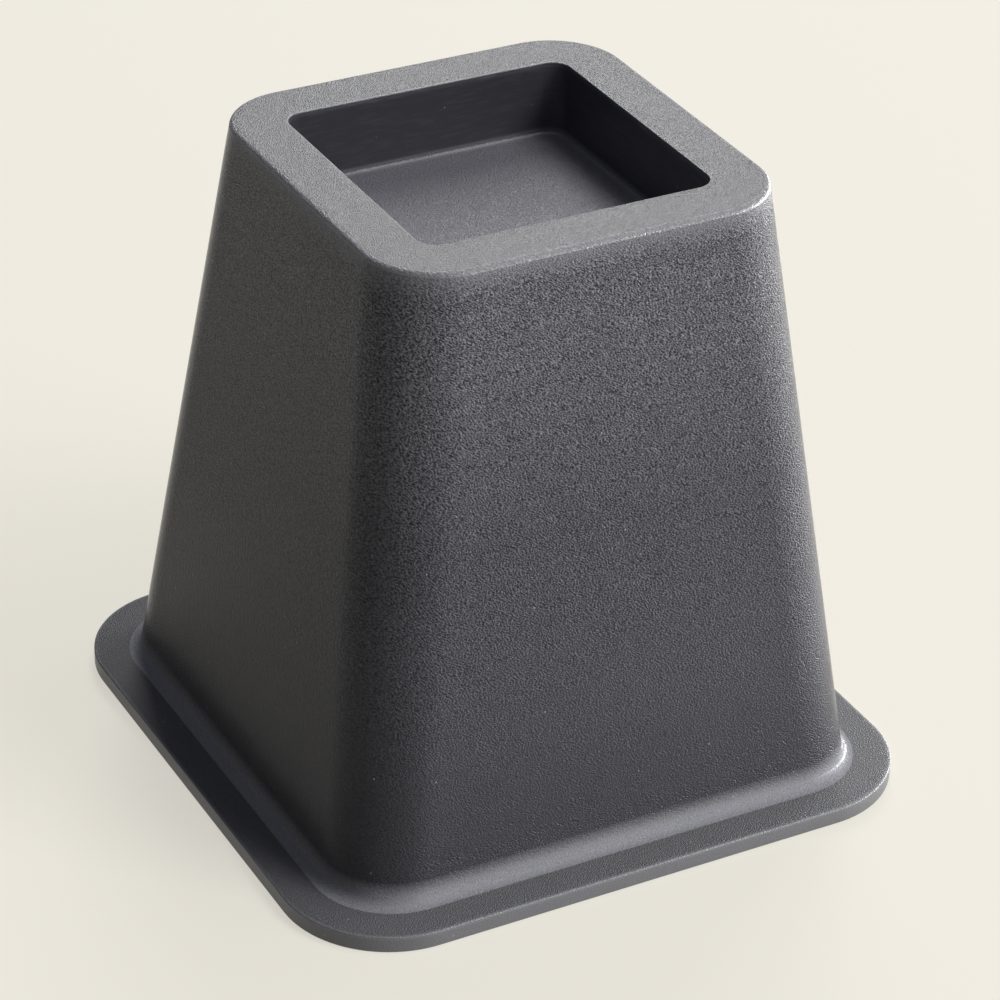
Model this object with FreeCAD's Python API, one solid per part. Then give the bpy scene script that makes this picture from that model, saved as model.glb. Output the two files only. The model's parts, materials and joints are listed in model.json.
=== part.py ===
"""Bed riser: a square tapered pedestal, moulded in one piece, with a recess on top for a furniture leg.

Millimetres, +Z up. The origin is at the middle of the underside, on the floor, and X and Y run along
the sides of the square.
"""

import FreeCAD
import Part
import math
import os

# Overall
riser_height = 158.0

# Recess: the socket that the leg stands in
recess_mouth_width = 75.4
recess_depth = 18.5
recess_draft_deg = 2.6
recess_corner_radius = 5.0
recess_floor_fillet = 1.0
recess_mouth_edge_radius = 0.3
recess_wall = 3.0
seat_thickness = 4.0

# Rim: the flat frame round the recess
rim_width = 13.8
rim_thickness = 3.2
rim_edge_radius = 1.3

# Body: four walls that lean inwards as they rise
body_lean_deg = 7.16
body_corner_radius = 18.2
body_wall = 3.0

# Foot: the flat flange that spreads the load on the floor
foot_flange_width = 11.2
foot_thickness = 4.3
foot_corner_radius = 27.4
foot_edge_radius = 0.4
foot_to_body_fillet = 3.0

# Ribs: a cross under the seat, thicker at the root so that it draws out of the mould
rib_root_thickness = 3.0
rib_edge_thickness = 2.2
rib_floor_gap = 2.0

# Cutting tools run past the faces that they cut through by this much
cut_overrun = 5.0

# What follows from the driving dimensions
body_lean = math.tan(math.radians(body_lean_deg))
recess_lean = math.tan(math.radians(recess_draft_deg))
body_width_at_rim = recess_mouth_width + 2 * rim_width
recess_floor_z = riser_height - recess_depth
seat_underside_z = recess_floor_z - seat_thickness
rim_underside_z = riser_height - rim_thickness


def body_width(height):
    """The body's outside width at a height above the floor, the rim edge left square."""
    return body_width_at_rim + 2 * body_lean * (riser_height - height)


def recess_width(height):
    """The recess's inside width at a height above the floor."""
    return recess_mouth_width - 2 * recess_lean * (riser_height - height)


def level_wall(thickness, lean):
    """The thickness that a leaning wall shows in a level section."""
    return thickness * math.hypot(1, lean)


def tapered_block(bottom, top, z_bottom, z_top):
    """A block with level ends, centred on the Z axis. bottom and top are the (x, y) sizes of its ends."""
    lower_x, lower_y = (size / 2 for size in bottom)
    upper_x, upper_y = (size / 2 for size in top)
    block = Part.makeWedge(
        -lower_x, z_bottom, -lower_y, -upper_y, -upper_x, lower_x, z_top, lower_y, upper_y, upper_x
    )
    block.rotate(FreeCAD.Vector(0, 0, 0), FreeCAD.Vector(1, 0, 0), 90)
    return block


def standing_edges(shape):
    """The edges that rise from one level to another, such as the four corners of a block."""
    return [edge for edge in shape.Edges if edge.BoundBox.ZLength > edge.Length / 2]


def level_edges(shape, height):
    """The edges that lie in the level plane at that height."""
    slack = 1e-6
    return [
        edge
        for edge in shape.Edges
        if abs(edge.BoundBox.ZMin - height) < slack and abs(edge.BoundBox.ZMax - height) < slack
    ]


def reach(edge):
    """How far the edge gets from the Z axis, along X or along Y."""
    box = edge.BoundBox
    return max(abs(box.XMin), abs(box.XMax), abs(box.YMin), abs(box.YMax))


def square_block(width_bottom, width_top, z_bottom, z_top, corner_radius):
    """A tapered square block with its four standing corners rounded."""
    block = tapered_block((width_bottom,) * 2, (width_top,) * 2, z_bottom, z_top)
    return block.makeFillet(corner_radius, standing_edges(block))


def make_outside():
    """The body on its foot, with the fillet between them and the rounded rim edge."""
    body_foot_width = body_width(foot_thickness)
    foot_width = body_foot_width + 2 * foot_flange_width
    mid_flange = (body_foot_width + foot_flange_width) / 2
    body = square_block(body_width(0), body_width_at_rim, 0, riser_height, body_corner_radius)
    foot = square_block(foot_width, foot_width, 0, foot_thickness, foot_corner_radius)
    outside = foot.fuse(body).removeSplitter()
    junction = [edge for edge in level_edges(outside, foot_thickness) if reach(edge) < mid_flange]
    outside = outside.makeFillet(foot_to_body_fillet, junction)
    outside = outside.makeFillet(rim_edge_radius, level_edges(outside, riser_height))
    foot_edges = level_edges(outside, 0) + level_edges(outside, foot_thickness)
    return outside.makeFillet(foot_edge_radius, [edge for edge in foot_edges if reach(edge) > mid_flange])


def make_recess():
    """The space that the leg stands in, open at the top."""
    top_z = riser_height + cut_overrun
    recess = square_block(
        recess_width(recess_floor_z), recess_width(top_z), recess_floor_z, top_z, recess_corner_radius
    )
    return recess.makeFillet(recess_floor_fillet, level_edges(recess, recess_floor_z))


def make_cup():
    """The recess with its walls and seat, as one block that hangs from the rim."""
    both_walls = 2 * level_wall(recess_wall, recess_lean)
    return square_block(
        recess_width(seat_underside_z) + both_walls,
        recess_mouth_width + both_walls,
        seat_underside_z,
        riser_height,
        recess_corner_radius + recess_wall,
    )


def make_ribs():
    """The two ribs that cross under the seat, each long enough to run from wall to wall."""
    length = body_width(0)
    along_x = tapered_block(
        (length, rib_edge_thickness), (length, rib_root_thickness), rib_floor_gap, rim_underside_z
    )
    along_y = tapered_block(
        (rib_edge_thickness, length), (rib_root_thickness, length), rib_floor_gap, rim_underside_z
    )
    return [along_x, along_y]


def make_hollow():
    """The space under the riser: inside the walls and the rim, less the cup and the ribs."""
    both_walls = 2 * level_wall(body_wall, body_lean)
    inside = square_block(
        body_width(-cut_overrun) - both_walls,
        body_width(rim_underside_z) - both_walls,
        -cut_overrun,
        rim_underside_z,
        body_corner_radius - body_wall,
    )
    return inside.cut([make_cup(), *make_ribs()])


def make_riser():
    """The whole moulding."""
    riser = make_outside().cut([make_recess(), make_hollow()])
    mid_rim = (recess_mouth_width + rim_width) / 2
    mouth = [edge for edge in level_edges(riser, riser_height) if reach(edge) < mid_rim]
    return riser.makeFillet(recess_mouth_edge_radius, mouth)


def main():
    riser = make_riser()
    os.makedirs("parts", exist_ok=True)
    riser.exportStep("parts/riser.step")
    cubic_cm = riser.Volume / 1000
    print(f"riser: {len(riser.Solids)} solid, valid {riser.isValid()}, {cubic_cm:.1f} cubic centimetres")


main()
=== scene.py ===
import json
import math

import bmesh
import bpy
from mathutils import Matrix, Vector


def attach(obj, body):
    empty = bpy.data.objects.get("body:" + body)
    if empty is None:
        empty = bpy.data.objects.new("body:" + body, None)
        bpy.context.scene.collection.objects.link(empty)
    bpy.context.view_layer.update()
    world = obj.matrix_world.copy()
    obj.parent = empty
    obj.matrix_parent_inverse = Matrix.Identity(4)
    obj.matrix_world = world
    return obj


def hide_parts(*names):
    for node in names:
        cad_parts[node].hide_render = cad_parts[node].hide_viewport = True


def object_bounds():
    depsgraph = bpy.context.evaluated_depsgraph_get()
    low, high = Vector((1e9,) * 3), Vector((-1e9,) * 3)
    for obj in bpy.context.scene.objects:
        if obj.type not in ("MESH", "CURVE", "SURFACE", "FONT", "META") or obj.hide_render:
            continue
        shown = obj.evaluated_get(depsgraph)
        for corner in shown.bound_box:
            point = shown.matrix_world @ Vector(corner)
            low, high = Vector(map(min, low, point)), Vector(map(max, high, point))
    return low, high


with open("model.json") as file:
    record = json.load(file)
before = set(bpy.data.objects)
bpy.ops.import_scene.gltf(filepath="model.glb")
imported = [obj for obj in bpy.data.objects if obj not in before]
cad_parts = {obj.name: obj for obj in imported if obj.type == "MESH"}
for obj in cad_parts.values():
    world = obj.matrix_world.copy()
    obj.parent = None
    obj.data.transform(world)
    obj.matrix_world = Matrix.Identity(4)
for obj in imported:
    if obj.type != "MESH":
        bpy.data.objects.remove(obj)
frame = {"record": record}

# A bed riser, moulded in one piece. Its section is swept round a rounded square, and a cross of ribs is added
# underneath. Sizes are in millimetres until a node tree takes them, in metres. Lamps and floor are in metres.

CAD_BOX = [list(corner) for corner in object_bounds()]
MM = 0.001

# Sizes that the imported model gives, in millimetres
HEIGHT = CAD_BOX[1][2] / MM
FOOT_HALF = CAD_BOX[1][0] / MM
MOUNTS = {mount["name"]: mount for mount in frame["record"]["mounts"]}
SEAT_Z = MOUNTS["leg_seat"]["pos_m"][2] / MM

# The moulding's other sizes, in millimetres, as in the part's source
RECESS_HALF = 37.7
RECESS_DRAFT_DEG = 2.6
RECESS_CORNER = 5.0
RECESS_WALL = 3.0
SEAT_THICKNESS = 4.0
RIM_WIDTH = 13.8
RIM_THICKNESS = 3.2
BODY_LEAN_DEG = 7.16
BODY_CORNER = 18.2
BODY_WALL = 3.0
FOOT_THICKNESS = 4.3
FOOT_CORNER = 27.4
RIB_ROOT = 3.0
RIB_EDGE = 2.2
RIB_FLOOR_GAP = 2.0

# How edges and inner corners are rounded, in millimetres
SEAT_FILLET = 1.0
MOUTH_ROUNDING = 0.3
RIM_ROUNDING = 1.3
FOOT_FILLET = 3.0
FOOT_ROUNDING = 0.4

# Camera, as fitted to the photograph's edges
AZIMUTH_DEG = -28.586
ELEVATION_DEG = 30.968
ROLL_DEG = 1.333
DISTANCE_MM = 936.4
LENS_MM = 138.0
SENSOR_MM = 36.0
AIM_RIGHT_MM = 2.35
AIM_UP_MM = -14.26


def body_half(height):
    """Half the body's outside width at a height, with the rim edge left square."""
    return RECESS_HALF + RIM_WIDTH + math.tan(math.radians(BODY_LEAN_DEG)) * (HEIGHT - height)


def recess_half(height):
    """Half the recess's inside width at a height."""
    return RECESS_HALF - math.tan(math.radians(RECESS_DRAFT_DEG)) * (HEIGHT - height)


def hollow_half(height):
    """Half the width of the hollow under the riser at a height."""
    return body_half(height) - BODY_WALL / math.cos(math.radians(BODY_LEAN_DEG))


def cup_half(height):
    """Half the outside width of the recess's walls at a height."""
    return recess_half(height) + RECESS_WALL / math.cos(math.radians(RECESS_DRAFT_DEG))


RIM_UNDERSIDE = HEIGHT - RIM_THICKNESS
SEAT_UNDERSIDE = SEAT_Z - SEAT_THICKNESS
HOLLOW_CORNER = BODY_CORNER - BODY_WALL
CUP_CORNER = RECESS_CORNER + RECESS_WALL


def rib_half(height):
    """Half a rib's thickness at a height."""
    rise = (height - RIB_FLOOR_GAP) / (RIM_UNDERSIDE - RIB_FLOOR_GAP)
    return (RIB_EDGE + (RIB_ROOT - RIB_EDGE) * rise) / 2


# The section, from the middle of the seat out over the rim, down to the foot and back up underneath. Each
# point has its half width, corner radius, height and rounding, and the rows of faces up to the next point.
SECTION = (
    ("Seat middle", 0.0, 0.0, SEAT_Z, 0.0, 8),
    ("Seat edge", recess_half(SEAT_Z), RECESS_CORNER, SEAT_Z, SEAT_FILLET, 6),
    ("Recess mouth", RECESS_HALF, RECESS_CORNER, HEIGHT, MOUTH_ROUNDING, 6),
    ("Rim edge", body_half(HEIGHT), BODY_CORNER, HEIGHT, RIM_ROUNDING, 24),
    ("Foot joint", body_half(FOOT_THICKNESS), BODY_CORNER, FOOT_THICKNESS, FOOT_FILLET, 4),
    ("Foot top edge", FOOT_HALF, FOOT_CORNER, FOOT_THICKNESS, FOOT_ROUNDING, 1),
    ("Foot lower edge", FOOT_HALF, FOOT_CORNER, 0.0, FOOT_ROUNDING, 2),
    ("Hollow mouth", hollow_half(0.0), HOLLOW_CORNER, 0.0, 0.0, 1),
    ("Rib line", hollow_half(RIB_FLOOR_GAP), HOLLOW_CORNER, RIB_FLOOR_GAP, 0.0, 1),
    ("Hollow top", hollow_half(RIM_UNDERSIDE), HOLLOW_CORNER, RIM_UNDERSIDE, 0.0, 1),
    ("Cup top", cup_half(RIM_UNDERSIDE), CUP_CORNER, RIM_UNDERSIDE, 0.0, 1),
    ("Cup lower edge", cup_half(SEAT_UNDERSIDE), CUP_CORNER, SEAT_UNDERSIDE, 0.0, 1),
    ("Rib root middle", rib_half(SEAT_UNDERSIDE), 0.0, SEAT_UNDERSIDE, 0.0, 1),
    ("Rib edge middle", rib_half(RIB_FLOOR_GAP), 0.0, RIB_FLOOR_GAP, 0.0, 1),
)
ORDER = {point[0]: number for number, point in enumerate(SECTION)}

# A place on the section counts as a point of ORDER when its number is as close as this
ORDER_SLACK = 0.01

# Faces along the straight of each side (an odd number, the middle one under a rib) and round each corner
SIDE_FACES = 81
CORNER_FACES = 24
ROUNDING_STEPS = 8

# Points closer than this become one, and edges sharper than this stay sharp
WELD_MM = 0.001
SHARP_EDGE_DEG = 30


def linear(hex_colour, alpha=1.0):
    """An sRGB hex colour as the linear RGBA that shaders take."""
    channels = [int(hex_colour[i:i + 2], 16) / 255 for i in (1, 3, 5)]
    return [c / 12.92 if c <= 0.04045 else ((c + 0.055) / 1.055) ** 2.4 for c in channels] + [alpha]


def add(tree, kind, inputs=None, **settings):
    """Adds a node. settings go on the node, and inputs on its sockets: a value, a socket or a node."""
    node = tree.nodes.new(kind)
    for name, value in settings.items():
        setattr(node, name, value)
    for key, value in (inputs or {}).items():
        if isinstance(value, bpy.types.Node):
            value = value.outputs[0]
        if isinstance(value, bpy.types.NodeSocket):
            tree.links.new(value, node.inputs[key])
        else:
            node.inputs[key].default_value = value
    return node


def section_curve(tree, sizes):
    """The section as a curve in the XZ plane, rounded, with each point's place in the order of SECTION."""
    number = add(tree, "GeometryNodeInputIndex")
    chosen = {}
    for ending, kind in (("", "VECTOR"), (" rounding", "FLOAT"), (" rows", "INT")):
        switch = add(tree, "GeometryNodeIndexSwitch", {"Index": number}, data_type=kind)
        while len(switch.index_switch_items) < len(SECTION):
            switch.index_switch_items.new()
        for point, name in enumerate(ORDER):
            tree.links.new(sizes[name + ending], switch.inputs[str(point)])
        chosen[ending] = switch
    parts = add(tree, "ShaderNodeSeparateXYZ", {0: chosen[""]})
    place = add(tree, "ShaderNodeCombineXYZ", {"X": parts.outputs["X"], "Z": parts.outputs["Z"]})
    line = add(tree, "GeometryNodeMeshLine", {"Count": len(SECTION)})
    values = {
        "order": number,
        "corner_centre": parts.outputs["Y"],
        "rounding": chosen[" rounding"],
        "rows": chosen[" rows"],
    }
    for name, value in values.items():
        line = add(tree, "GeometryNodeStoreNamedAttribute", {"Geometry": line, "Name": name, "Value": value})
    line = add(tree, "GeometryNodeSetPosition", {"Geometry": line, "Position": place})
    curve = add(tree, "GeometryNodeMeshToCurve", {"Mesh": line})
    rows = add(tree, "GeometryNodeInputNamedAttribute", {"Name": "rows"})
    cuts = add(tree, "ShaderNodeMath", {0: rows, 1: 1.0}, operation="SUBTRACT")
    curve = add(tree, "GeometryNodeSubdivideCurve", {"Curve": curve, "Cuts": cuts})
    order = add(tree, "GeometryNodeInputNamedAttribute", {"Name": "order"})
    nearest = add(tree, "ShaderNodeMath", {0: order}, operation="ROUND")
    is_corner = add(tree, "ShaderNodeMath", {0: order, 1: nearest, 2: ORDER_SLACK}, operation="COMPARE")
    rounding = add(tree, "GeometryNodeInputNamedAttribute", {"Name": "rounding"})
    radius = add(tree, "ShaderNodeMath", {0: rounding, 1: is_corner}, operation="MULTIPLY")
    return add(
        tree,
        "GeometryNodeFilletCurve",
        {"Curve": curve, "Count": sizes["Rounding steps"], "Radius": radius},
        mode="POLY",
    )


def rib_thickness(tree, sizes, height):
    """Half a rib's thickness at a height, as a field."""
    return add(tree, "ShaderNodeMapRange", {
        "Value": height,
        "From Min": sizes["Rib edge height"],
        "From Max": sizes["Rib root height"],
        "To Min": sizes["Rib edge half"],
        "To Max": sizes["Rib root half"],
    })


def rings(tree, sizes, curve):
    """Rounded-square rings along the section, joined into a skin that is open where the ribs cross it."""
    points = add(tree, "GeometryNodeAttributeDomainSize", {"Geometry": curve}, component="CURVE")
    rows = add(tree, "ShaderNodeMath", {0: points, 1: 1.0}, operation="SUBTRACT")
    per_side = add(tree, "ShaderNodeMath", {0: sizes["Side faces"], 1: sizes["Corner faces"]})
    columns = add(tree, "ShaderNodeMath", {0: per_side, 1: 4.0, 2: 1.0}, operation="MULTIPLY_ADD")
    grid = add(tree, "GeometryNodeMeshGrid", {"Vertices X": columns, "Vertices Y": rows})

    # Half is added before each division, so that a whole number never comes out just below itself
    number = add(tree, "GeometryNodeInputIndex")
    past = add(tree, "ShaderNodeMath", {0: number, 1: 0.5})
    column = add(tree, "ShaderNodeMath", {0: past, 1: rows}, operation="DIVIDE")
    column = add(tree, "ShaderNodeMath", {0: column}, operation="FLOOR")
    row = add(tree, "ShaderNodeMath", {0: number, 1: rows}, operation="MODULO")
    past = add(tree, "ShaderNodeMath", {0: column, 1: 0.5})
    turn = add(tree, "ShaderNodeMath", {0: past, 1: per_side}, operation="DIVIDE")
    turn = add(tree, "ShaderNodeMath", {0: turn}, operation="FLOOR")
    step = add(tree, "ShaderNodeMath", {0: column, 1: per_side}, operation="MODULO")

    sampled = {}
    for name, kind in (("position", "FLOAT_VECTOR"), ("corner_centre", "FLOAT"), ("order", "FLOAT")):
        value = add(tree, "GeometryNodeInputNamedAttribute", {"Name": name}, data_type=kind)
        sampled[name] = add(
            tree,
            "GeometryNodeSampleIndex",
            {"Geometry": curve, "Value": value, "Index": row},
            data_type=kind,
            clamp=True,
        )
    place = add(tree, "ShaderNodeSeparateXYZ", {0: sampled["position"]})
    centre = sampled["corner_centre"]
    radius = add(tree, "ShaderNodeMath", {0: place.outputs["X"], 1: centre}, operation="SUBTRACT")

    # Along the straight, odd numbers from -side to side, so that the middle face has a number on each edge
    straight = add(tree, "ShaderNodeMath", {0: step, 1: sizes["Side faces"]}, operation="MINIMUM")
    odd = add(tree, "ShaderNodeMath", {0: straight, 1: 2.0}, operation="MULTIPLY")
    odd = add(tree, "ShaderNodeMath", {0: odd, 1: sizes["Side faces"]}, operation="SUBTRACT")
    size = add(tree, "ShaderNodeMath", {0: odd}, operation="ABSOLUTE")
    sign = add(tree, "ShaderNodeMath", {0: odd}, operation="SIGN")
    even_half = add(tree, "ShaderNodeMath", {0: centre, 1: sizes["Side faces"]}, operation="DIVIDE")
    rib = rib_thickness(tree, sizes, place.outputs["Z"])
    # Inside the hollow, the middle face is as wide as the rib that stands on it
    inside = add(
        tree,
        "ShaderNodeMath",
        {0: sampled["order"], 1: ORDER["Hollow mouth"] - ORDER_SLACK},
        operation="GREATER_THAN",
    )
    first = add(tree, "ShaderNodeMix", {"Factor": inside, "A": even_half, "B": rib.outputs["Result"]})
    along = add(tree, "ShaderNodeMapRange", {
        "Value": size,
        "From Min": 1.0,
        "From Max": sizes["Side faces"],
        "To Min": first.outputs["Result"],
        "To Max": centre,
    })
    along = add(tree, "ShaderNodeMath", {0: along, 1: sign}, operation="MULTIPLY")

    bend = add(tree, "ShaderNodeMapRange", {
        "Value": step,
        "From Min": sizes["Side faces"],
        "From Max": per_side,
        "To Max": math.pi / 2,
    })
    across = add(tree, "ShaderNodeMath", {0: bend}, operation="COSINE")
    across = add(tree, "ShaderNodeMath", {0: across, 1: radius, 2: centre}, operation="MULTIPLY_ADD")
    beside = add(tree, "ShaderNodeMath", {0: bend}, operation="SINE")
    beside = add(tree, "ShaderNodeMath", {0: beside, 1: radius, 2: along}, operation="MULTIPLY_ADD")
    flat = add(tree, "ShaderNodeCombineXYZ", {"X": across, "Y": beside, "Z": place.outputs["Z"]})
    angle = add(tree, "ShaderNodeMath", {0: turn, 1: math.pi / 2}, operation="MULTIPLY")
    turned = add(tree, "ShaderNodeVectorRotate", {"Vector": flat, "Angle": angle}, rotation_type="Z_AXIS")

    skin = grid
    for name, value in (("section", sampled["order"]), ("stripe", size)):
        skin = add(tree, "GeometryNodeStoreNamedAttribute", {"Geometry": skin, "Name": name, "Value": value})
    skin = add(tree, "GeometryNodeSetPosition", {"Geometry": skin, "Position": turned})
    # The middle face of each side has the number 1 on both edges. It is left out where a rib stands on it.
    stripe = add(tree, "GeometryNodeInputNamedAttribute", {"Name": "stripe"})
    middle = add(tree, "ShaderNodeMath", {0: stripe, 1: 1.5}, operation="LESS_THAN")
    section = add(tree, "GeometryNodeInputNamedAttribute", {"Name": "section"})
    rib_line = ORDER["Rib line"] + ORDER_SLACK
    above = add(tree, "ShaderNodeMath", {0: section, 1: rib_line}, operation="GREATER_THAN")
    crossed = add(tree, "ShaderNodeMath", {0: middle, 1: above}, operation="MULTIPLY")
    return add(tree, "GeometryNodeDeleteGeometry", {"Geometry": skin, "Selection": crossed}, domain="FACE")


def ribs(tree, sizes, curve):
    """The cross of ribs: each arm has two sides, filled from the section under the seat, and a lower edge."""
    order = add(tree, "GeometryNodeInputNamedAttribute", {"Name": "order"})
    rib_line = ORDER["Rib line"] - ORDER_SLACK
    outside = add(tree, "ShaderNodeMath", {0: order, 1: rib_line}, operation="LESS_THAN")
    outline = add(tree, "GeometryNodeDeleteGeometry", {"Geometry": curve, "Selection": outside})
    place = add(tree, "ShaderNodeSeparateXYZ", {0: add(tree, "GeometryNodeInputPosition")})
    level = add(tree, "ShaderNodeCombineXYZ", {"X": place.outputs["X"], "Y": place.outputs["Z"]})
    outline = add(tree, "GeometryNodeSetPosition", {"Geometry": outline, "Position": level})
    outline = add(tree, "GeometryNodeSetSplineCyclic", {"Geometry": outline, "Cyclic": True})
    side = add(tree, "GeometryNodeFillCurve", {"Curve": outline}, mode="NGONS")
    rib = rib_thickness(tree, sizes, place.outputs["Y"])
    upright = add(tree, "ShaderNodeCombineXYZ", {"X": place.outputs["X"], "Y": rib, "Z": place.outputs["Y"]})
    side = add(tree, "GeometryNodeSetPosition", {"Geometry": side, "Position": upright})
    other = add(tree, "GeometryNodeTransform", {"Geometry": side, "Scale": (1, -1, 1)})

    # The lower edge starts as one face that runs from -0.5 to 0.5 both ways
    plate = add(tree, "GeometryNodeMeshGrid", {"Vertices X": 2, "Vertices Y": 2})
    wall = add(tree, "ShaderNodeSeparateXYZ", {0: sizes["Rib line"]})
    reach = add(tree, "ShaderNodeMapRange", {
        "Value": place.outputs["X"],
        "From Min": -0.5,
        "From Max": 0.5,
        "To Min": sizes["Rib edge half"],
        "To Max": wall.outputs["X"],
    })
    width = add(tree, "ShaderNodeMath", {0: sizes["Rib edge half"], 1: 2.0}, operation="MULTIPLY")
    spread = add(tree, "ShaderNodeMath", {0: place.outputs["Y"], 1: width}, operation="MULTIPLY")
    lower = add(tree, "ShaderNodeCombineXYZ", {"X": reach, "Y": spread, "Z": sizes["Rib edge height"]})
    edge = add(tree, "GeometryNodeSetPosition", {"Geometry": plate, "Position": lower})
    arm = add(tree, "GeometryNodeJoinGeometry")
    for piece in (side, other, edge):
        tree.links.new(piece.outputs[0], arm.inputs[0])

    spots = add(tree, "GeometryNodeMeshLine", {"Count": 4, "Offset": (0, 0, 0)})
    number = add(tree, "GeometryNodeInputIndex")
    angle = add(tree, "ShaderNodeMath", {0: number, 1: math.pi / 2}, operation="MULTIPLY")
    rotation = add(tree, "ShaderNodeCombineXYZ", {"Z": angle})
    rotation = add(tree, "FunctionNodeEulerToRotation", {0: rotation})
    arms = add(
        tree, "GeometryNodeInstanceOnPoints", {"Points": spots, "Instance": arm, "Rotation": rotation}
    )
    crossing = add(
        tree, "GeometryNodeMeshGrid", {"Size X": width, "Size Y": width, "Vertices X": 2, "Vertices Y": 2}
    )
    lift = add(tree, "ShaderNodeCombineXYZ", {"Z": sizes["Rib edge height"]})
    crossing = add(tree, "GeometryNodeTransform", {"Geometry": crossing, "Translation": lift})
    return arms, crossing


def moulding_tree(grained, smooth):
    """The tree that makes the whole moulding from its section and its rib sizes, in metres."""
    tree = bpy.data.node_groups.new("one_piece_moulding", "GeometryNodeTree")
    values = {"Side faces": SIDE_FACES, "Corner faces": CORNER_FACES, "Rounding steps": ROUNDING_STEPS}
    for name, half, corner, height, rounding, rows in SECTION:
        values[name] = (half * MM, (half - corner) * MM, height * MM)
        values[name + " rounding"] = rounding * MM
        values[name + " rows"] = rows
    values["Rib edge half"] = rib_half(RIB_FLOOR_GAP) * MM
    values["Rib root half"] = rib_half(RIM_UNDERSIDE) * MM
    values["Rib edge height"] = RIB_FLOOR_GAP * MM
    values["Rib root height"] = RIM_UNDERSIDE * MM
    kinds = {tuple: "NodeSocketVector", float: "NodeSocketFloat", int: "NodeSocketInt"}
    tree.interface.new_socket("Moulding", in_out="OUTPUT", socket_type="NodeSocketGeometry")
    identifiers = {}
    for name, value in values.items():
        socket = tree.interface.new_socket(name, in_out="INPUT", socket_type=kinds[type(value)])
        identifiers[socket.identifier] = value
    sizes = add(tree, "NodeGroupInput").outputs
    curve = section_curve(tree, sizes)
    whole = add(tree, "GeometryNodeJoinGeometry")
    for piece in (rings(tree, sizes, curve), *ribs(tree, sizes, curve)):
        tree.links.new(piece.outputs[0], whole.inputs[0])
    whole = add(tree, "GeometryNodeRealizeInstances", {"Geometry": whole})
    whole = add(tree, "GeometryNodeMergeByDistance", {"Geometry": whole, "Distance": WELD_MM * MM})
    whole = add(tree, "GeometryNodeSetMaterial", {"Geometry": whole, "Material": smooth})
    # The walls take the grained finish, from below the rim edge to the end of the fillet above the foot
    section = add(tree, "GeometryNodeInputNamedAttribute", {"Name": "section"})
    start = ORDER["Rim edge"] + ORDER_SLACK
    end = ORDER["Foot joint"] + ORDER_SLACK
    is_wall = add(
        tree,
        "ShaderNodeMath",
        {0: section, 1: (start + end) / 2, 2: (end - start) / 2},
        operation="COMPARE",
    )
    whole = add(
        tree, "GeometryNodeSetMaterial", {"Geometry": whole, "Selection": is_wall, "Material": grained}
    )
    add(tree, "NodeGroupOutput", {"Moulding": whole})
    return tree, identifiers


def make_riser(grained, smooth):
    """The riser's own fine mesh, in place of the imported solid."""
    tree, identifiers = moulding_tree(grained, smooth)
    blank = bpy.data.objects.new("blank", bpy.data.meshes.new("blank"))
    bpy.context.collection.objects.link(blank)
    modifier = blank.modifiers.new("moulding", "NODES")
    modifier.node_group = tree
    for identifier, value in identifiers.items():
        modifier[identifier] = value
    bpy.context.view_layer.update()
    graph = bpy.context.evaluated_depsgraph_get()
    mesh = bpy.data.meshes.new_from_object(blank.evaluated_get(graph), depsgraph=graph)
    bpy.data.objects.remove(blank)
    mesh.name = "moulded_riser"
    shape = bmesh.new()
    shape.from_mesh(mesh)
    bmesh.ops.recalc_face_normals(shape, faces=shape.faces)
    shape.to_mesh(mesh)
    shape.free()
    mesh.shade_smooth()
    mesh.set_sharp_from_angle(angle=math.radians(SHARP_EDGE_DEG))
    riser = bpy.data.objects.new("moulded_riser", mesh)
    bpy.context.collection.objects.link(riser)
    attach(riser, "root")
    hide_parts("riser")
    return riser


def new_material(name):
    """An empty material and its node tree."""
    material = bpy.data.materials.new(name)
    material.use_nodes = True
    material.node_tree.nodes.clear()
    return material, material.node_tree


# The finish of each stretch of the section, by the numbers in ORDER: where it starts and ends, its colour,
# the depths of its coarse and its fine grain in millimetres, its roughness, and how far it is rubbed. The
# colours
# hold painted light: edges and fillets are paler as a painted highlight where they catch the light, and the
# walls are painted darker towards the foot as a painted shade.
FINISHES_AND_PAINTED_LIGHT = (
    (0.00, 0.97, "#4F4F55", 0.00, 0.34, 0.46, 0.00),  # seat
    # Painted highlight: the fillet round the seat is paler than the seat and the recess walls
    (1.00, 1.00, "#74747B", 0.00, 0.05, 0.34, 0.10),  # fillet round the seat
    (1.03, 1.97, "#36363C", 0.00, 0.02, 0.46, 0.07),  # recess walls
    # Painted highlight along the recess mouth, which is also rubbed pale for real
    (2.00, 2.00, "#6C6C72", 0.00, 0.08, 0.30, 0.60),  # recess mouth
    (2.03, 2.97, "#444445", 0.00, 0.15, 0.42, 0.00),  # rim
    # Painted highlight: the rim edge is paler than the rim and the walls
    (3.00, 3.00, "#6A6A6D", 0.25, 0.06, 0.48, 0.10),  # rim edge
    # Painted shade: the walls' colour runs from paler at the top to darker towards the foot
    (3.03, 3.12, "#545457", 0.96, 0.08, 0.40, 0.00),  # top of the walls
    (3.45, 3.55, "#3F3F42", 0.72, 0.08, 0.40, 0.00),  # middle of the walls
    (3.85, 3.97, "#353538", 0.27, 0.08, 0.36, 0.00),  # bottom of the walls
    # Painted highlight: the fillet above the foot is much paler, a painted light band
    (4.00, 4.00, "#919195", 0.05, 0.04, 0.52, 0.00),  # fillet above the foot
    (4.05, 4.97, "#49494C", 0.06, 0.26, 0.70, 0.00),  # foot's top
    # Painted highlight: the foot's upper edge is paler than the foot's top
    (5.00, 5.00, "#6E6F73", 0.00, 0.03, 0.44, 0.10),  # foot's upper edge
    (5.10, 6.00, "#58595D", 0.00, 0.08, 0.42, 0.00),  # foot's side
    (6.10, 13.0, "#3B3B3F", 0.00, 0.01, 0.50, 0.00),  # underside
)
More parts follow.
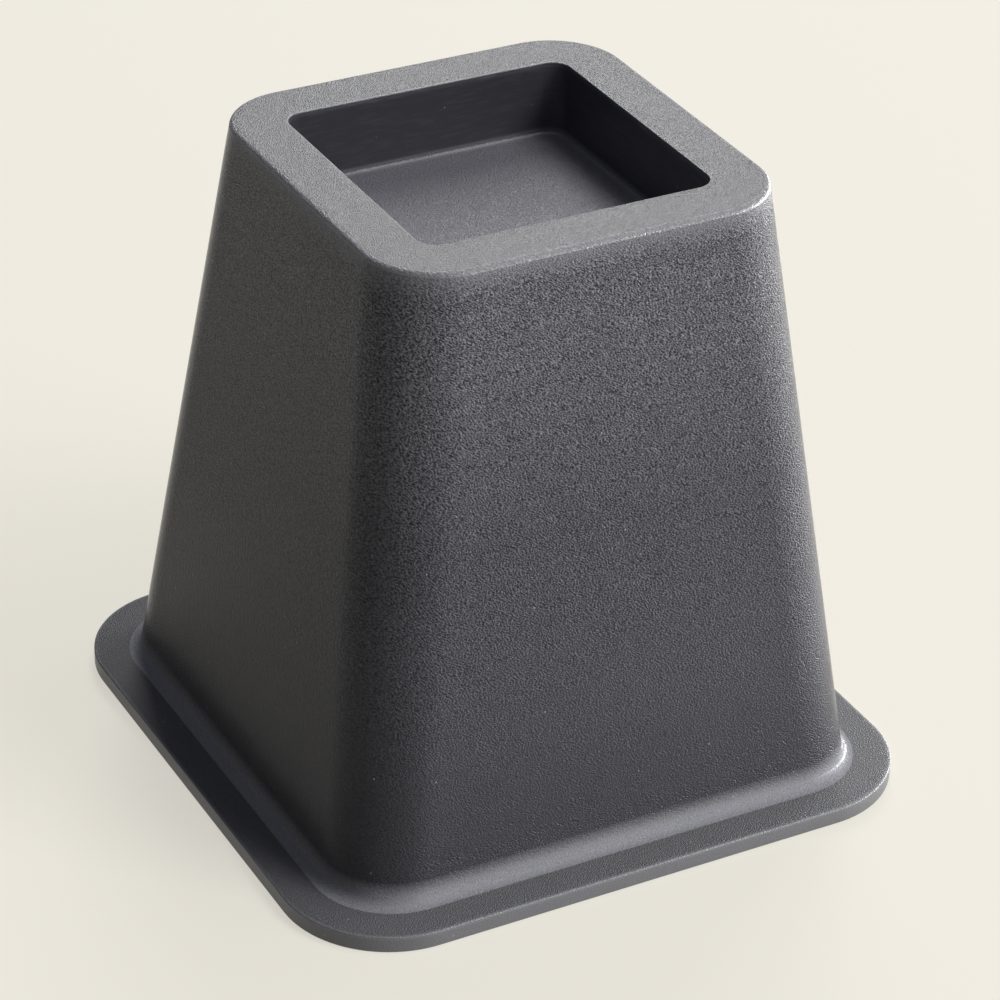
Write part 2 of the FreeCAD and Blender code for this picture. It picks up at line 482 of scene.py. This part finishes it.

# The etched grain: slanted pits on the walls, and fine round ones elsewhere. Real pits of this kind are finer
# than the picture shows, so they are drawn as coarse as they need to show. On the coarse grain, painted shade
# darkens the pits and painted light pales the ridges, by their depth.
COARSE_GRAIN_MM = 0.37
FINE_GRAIN_MM = 0.36
GRAIN_TURN_DEG = -30
GRAIN_STRETCH = (0.6, 0.55, 1.2)
PAINTED_GRAIN_SHADING = 5.0
DARKEST_PAINTED_SHADING = 0.25

# Rubbed streaks, which run level, and pale specks, with the colour that both have
STREAK_MM = 0.7
STREAK_STRETCH = (0.12, 0.12, 1.0)
STREAK_START = 0.5
STREAK_FULL = 0.8
SPECK_MM = 0.45
SPECK_SPACING_MM = 5.5
SPECK_SHARE = 0.5
RUBBED_COLOUR = "#A0A0A8"

# Polypropylene, and the faint coat of gloss that its walls have at a low angle
POLYPROPYLENE_IOR = 1.49
COAT_IOR = 1.07
COAT_ROUGHNESS = 0.2

# The two finishes: name, specular level, tint of the reflection, and how much of the coat there is
WALL_FINISH = ("charcoal_polypropylene_etched_grain", 0.10, "#E6E9FF", 1.0)
SMOOTH_FINISH = ("charcoal_polypropylene_fine_grain", 0.7, "#FFFFFF", 0.0)


def charcoal_polypropylene(name, gloss, tint, coat):
    """Polypropylene moulded against an etched tool.

    The eye sees a dull charcoal, speckled light and dark where the walls' grain is coarse, partly by painted
    shade in its pits and painted light on its ridges, and a finer, satin grain with soft highlights on the
    rim, in the recess and on the foot, where paler colour on the edges and fillets is a painted highlight.
    """
    material, tree = new_material(name)
    place = add(tree, "ShaderNodeTexCoord").outputs["Object"]
    section = add(tree, "ShaderNodeAttribute", attribute_name="section").outputs["Fac"]
    last = len(SECTION) - 1
    share = add(tree, "ShaderNodeMath", {0: section, 1: last}, operation="DIVIDE")
    colours = add(tree, "ShaderNodeValToRGB", {"Fac": share})
    depths = add(tree, "ShaderNodeValToRGB", {"Fac": share})
    stops = [
        (edge / last, linear(colour), (coarse, fine, roughness, rubbed))
        for start, end, colour, coarse, fine, roughness, rubbed in FINISHES_AND_PAINTED_LIGHT
        for edge in sorted({start, end})
    ]
    for ramp, value in ((colours.color_ramp.elements, 1), (depths.color_ramp.elements, 2)):
        ramp[0].color = stops[0][value]
        ramp[1].color = stops[-1][value]
        for stop in stops[1:-1]:
            ramp.new(stop[0]).color = stop[value]
    finish = add(tree, "ShaderNodeSeparateColor", {0: depths.outputs["Color"]})

    slanted = add(
        tree,
        "ShaderNodeVectorRotate",
        {"Vector": place, "Angle": math.radians(GRAIN_TURN_DEG)},
        rotation_type="Y_AXIS",
    )
    slanted = add(tree, "ShaderNodeVectorMath", {0: slanted, 1: GRAIN_STRETCH}, operation="MULTIPLY")
    coarse = add(
        tree, "ShaderNodeTexNoise", {"Vector": slanted, "Scale": 1 / (COARSE_GRAIN_MM * MM), "Detail": 1.0}
    )
    fine = add(
        tree, "ShaderNodeTexNoise", {"Vector": place, "Scale": 1 / (FINE_GRAIN_MM * MM), "Detail": 0.0}
    )
    relief = add(tree, "ShaderNodeMath", {0: coarse, 1: 0.5}, operation="SUBTRACT")
    relief = add(tree, "ShaderNodeMath", {0: relief, 1: finish.outputs["Red"]}, operation="MULTIPLY")
    height = add(
        tree, "ShaderNodeMath", {0: fine, 1: finish.outputs["Green"], 2: relief}, operation="MULTIPLY_ADD"
    )
    bump = add(tree, "ShaderNodeBump", {"Height": height, "Strength": 1.0, "Distance": MM})

    drawn = add(tree, "ShaderNodeVectorMath", {0: place, 1: STREAK_STRETCH}, operation="MULTIPLY")
    streaks = add(
        tree, "ShaderNodeTexNoise", {"Vector": drawn, "Scale": 1 / (STREAK_MM * MM), "Detail": 2.0}
    )
    streaks = add(
        tree, "ShaderNodeMapRange", {"Value": streaks, "From Min": STREAK_START, "From Max": STREAK_FULL}
    )
    cells = add(tree, "ShaderNodeTexVoronoi", {"Vector": place, "Scale": 1 / (SPECK_SPACING_MM * MM)})
    speck = SPECK_MM / 2 / SPECK_SPACING_MM
    specks = add(tree, "ShaderNodeMath", {0: cells.outputs["Distance"], 1: speck}, operation="LESS_THAN")
    specks = add(tree, "ShaderNodeMath", {0: specks, 1: SPECK_SHARE}, operation="MULTIPLY")
    worn = add(
        tree,
        "ShaderNodeMath",
        {0: streaks, 1: depths.outputs["Alpha"], 2: specks},
        operation="MULTIPLY_ADD",
        use_clamp=True,
    )
    # Painted shade and light on the coarse grain: the colour is scaled darker in the pits and paler on the
    # ridges
    painted_grain_shading = add(tree, "ShaderNodeMath", {0: relief, 1: PAINTED_GRAIN_SHADING, 2: 1.0}, operation="MULTIPLY_ADD")
    painted_grain_shading = add(tree, "ShaderNodeMath", {0: painted_grain_shading, 1: DARKEST_PAINTED_SHADING}, operation="MAXIMUM")
    colour_with_painted_shading = add(
        tree, "ShaderNodeVectorMath", {0: colours.outputs["Color"], "Scale": painted_grain_shading}, operation="SCALE"
    )
    colour = add(
        tree,
        "ShaderNodeMix",
        {0: worn, 6: colour_with_painted_shading, 7: linear(RUBBED_COLOUR)},
        data_type="RGBA",
    )
    shader = add(tree, "ShaderNodeBsdfPrincipled", {
        "Base Color": colour.outputs[2],
        "Roughness": finish.outputs["Blue"],
        "IOR": POLYPROPYLENE_IOR,
        "Specular IOR Level": gloss,
        "Specular Tint": linear(tint),
        "Coat Weight": coat,
        "Coat Roughness": COAT_ROUGHNESS,
        "Coat IOR": COAT_IOR,
        "Normal": bump,
    })
    add(tree, "ShaderNodeOutputMaterial", {"Surface": shader})
    return material


# The floor's paper as it is lit, the even colour mixed into it and its share, and half the sheet's width
PAPER_COLOUR = "#E2DED3"
EVEN_COLOUR = "#F3EFE4"
EVEN_SHARE = 0.65
FLOOR_HALF = 6.0


def cream_floor():
    """Matt cream paper: a pale, even ground with a soft shadow and no shine.

    What the camera and reflections see of it is partly even, and the rest keeps the shadow.
    """
    material, tree = new_material("cream_paper")
    paper = add(tree, "ShaderNodeBsdfDiffuse", {"Color": linear(PAPER_COLOUR)})
    even = add(tree, "ShaderNodeEmission", {"Color": linear(EVEN_COLOUR), "Strength": 1.0})
    ray = add(tree, "ShaderNodeLightPath")
    seen = add(tree, "ShaderNodeMath", {0: ray.outputs["Is Camera Ray"], 1: ray.outputs["Is Glossy Ray"]})
    seen = add(tree, "ShaderNodeMath", {0: seen, 1: ray.outputs["Is Transmission Ray"]})
    share = add(tree, "ShaderNodeMath", {0: seen, 1: EVEN_SHARE}, operation="MULTIPLY")
    shader = add(tree, "ShaderNodeMixShader", {0: share, 1: paper, 2: even})
    add(tree, "ShaderNodeOutputMaterial", {"Surface": shader})
    return material


def make_floor():
    """A wide sheet of paper at the height of the foot's underside."""
    mesh = bpy.data.meshes.new("floor")
    corners = [(FLOOR_HALF * x, FLOOR_HALF * y, 0) for x, y in ((-1, -1), (1, -1), (1, 1), (-1, 1))]
    mesh.from_pydata(corners, [], [(0, 1, 2, 3)])
    mesh.materials.append(cream_floor())
    floor = bpy.data.objects.new("floor", mesh)
    bpy.context.collection.objects.link(floor)


# The lamps face this point, halfway up the riser, and the room beyond them is a faint blue
LAMP_AIM = Vector((0, 0, 0.08))
ROOM_COLOUR = "#D8E0FF"
ROOM_STRENGTH = 0.095


def add_softbox(name, watts, place, width, length, along=(0, 0, 1)):
    """A rectangular lamp that faces the riser. Its length runs as nearly along the given way as it can."""
    light = bpy.data.lights.new(name, "AREA")
    light.energy = watts
    light.shape = "RECTANGLE"
    light.size = width
    light.size_y = length
    back = (Vector(place) - LAMP_AIM).normalized()
    side = Vector(along).cross(back).normalized()
    turn = Matrix((side, back.cross(side), back)).transposed().to_4x4()
    lamp = bpy.data.objects.new(name, light)
    lamp.matrix_world = Matrix.Translation(place) @ turn
    bpy.context.collection.objects.link(lamp)
    return lamp


def make_lamps(riser):
    """The studio's lamps. The two low ones light the riser alone, so that the floor stays even."""
    riser_alone = bpy.data.collections.new("riser_alone")
    riser_alone.objects.link(riser)

    # The right one shows only as a reflection, which is the light band down the right corner
    right = add_softbox("right_softbox", 66.0, (1.29, -0.10, 0.06), 1.8, 0.11)
    right.visible_diffuse = False
    right.light_linking.receiver_collection = riser_alone
    add_softbox("key_softbox", 19.0, (0.86, -1.12, 1.50), 0.8, 1.1)
    add_softbox("strip_softbox", 13.0, (0.90, -0.54, 1.76), 0.8, 1.8, (0, 1, 0))
    add_softbox("top_softbox", 5.0, (0.09, -0.09, 1.88), 1.2, 1.2, (0, 1, 0))
    front = add_softbox("front_softbox", 12.0, (0.80, -1.00, 0.10), 0.6, 0.11)
    front.light_linking.receiver_collection = riser_alone
    add_softbox("back_softbox", 14.5, (0.98, 1.80, 1.32), 0.8, 0.8)
    add_softbox("high_back_softbox", 14.0, (0.90, 1.21, 1.68), 0.8, 0.8)


def make_world():
    """The dim room round the studio."""
    world = bpy.data.worlds.new("studio")
    bpy.context.scene.world = world
    world.use_nodes = True
    tree = world.node_tree
    tree.nodes.clear()
    shader = add(tree, "ShaderNodeBackground", {"Color": linear(ROOM_COLOUR), "Strength": ROOM_STRENGTH})
    add(tree, "ShaderNodeOutputWorld", {"Surface": shader})


def make_camera():
    """The camera, where it was fitted to the photograph."""
    azimuth, elevation, roll = (math.radians(a) for a in (AZIMUTH_DEG, ELEVATION_DEG, ROLL_DEG))
    back = Vector((
        math.sin(azimuth) * math.cos(elevation), -math.cos(azimuth) * math.cos(elevation), math.sin(elevation)
    ))
    right = Vector((0, 0, 1)).cross(back).normalized()
    up = back.cross(right)
    turn = Matrix.Rotation(roll, 3, back)
    right, up = turn @ right, turn @ up
    centre = (Vector(CAD_BOX[0]) + Vector(CAD_BOX[1])) / 2
    aim = centre + MM * (AIM_RIGHT_MM * right + AIM_UP_MM * up)
    lens = bpy.data.cameras.new("camera")
    lens.lens = LENS_MM
    lens.sensor_width = SENSOR_MM
    camera = bpy.data.objects.new("camera", lens)
    rotation = Matrix((right, up, back)).transposed().to_4x4()
    camera.matrix_world = Matrix.Translation(aim + MM * DISTANCE_MM * back) @ rotation
    bpy.context.collection.objects.link(camera)
    bpy.context.scene.camera = camera


riser = make_riser(charcoal_polypropylene(*WALL_FINISH), charcoal_polypropylene(*SMOOTH_FINISH))
make_floor()
make_world()
make_lamps(riser)
make_camera()
bpy.context.scene.view_settings.view_transform = "Standard"
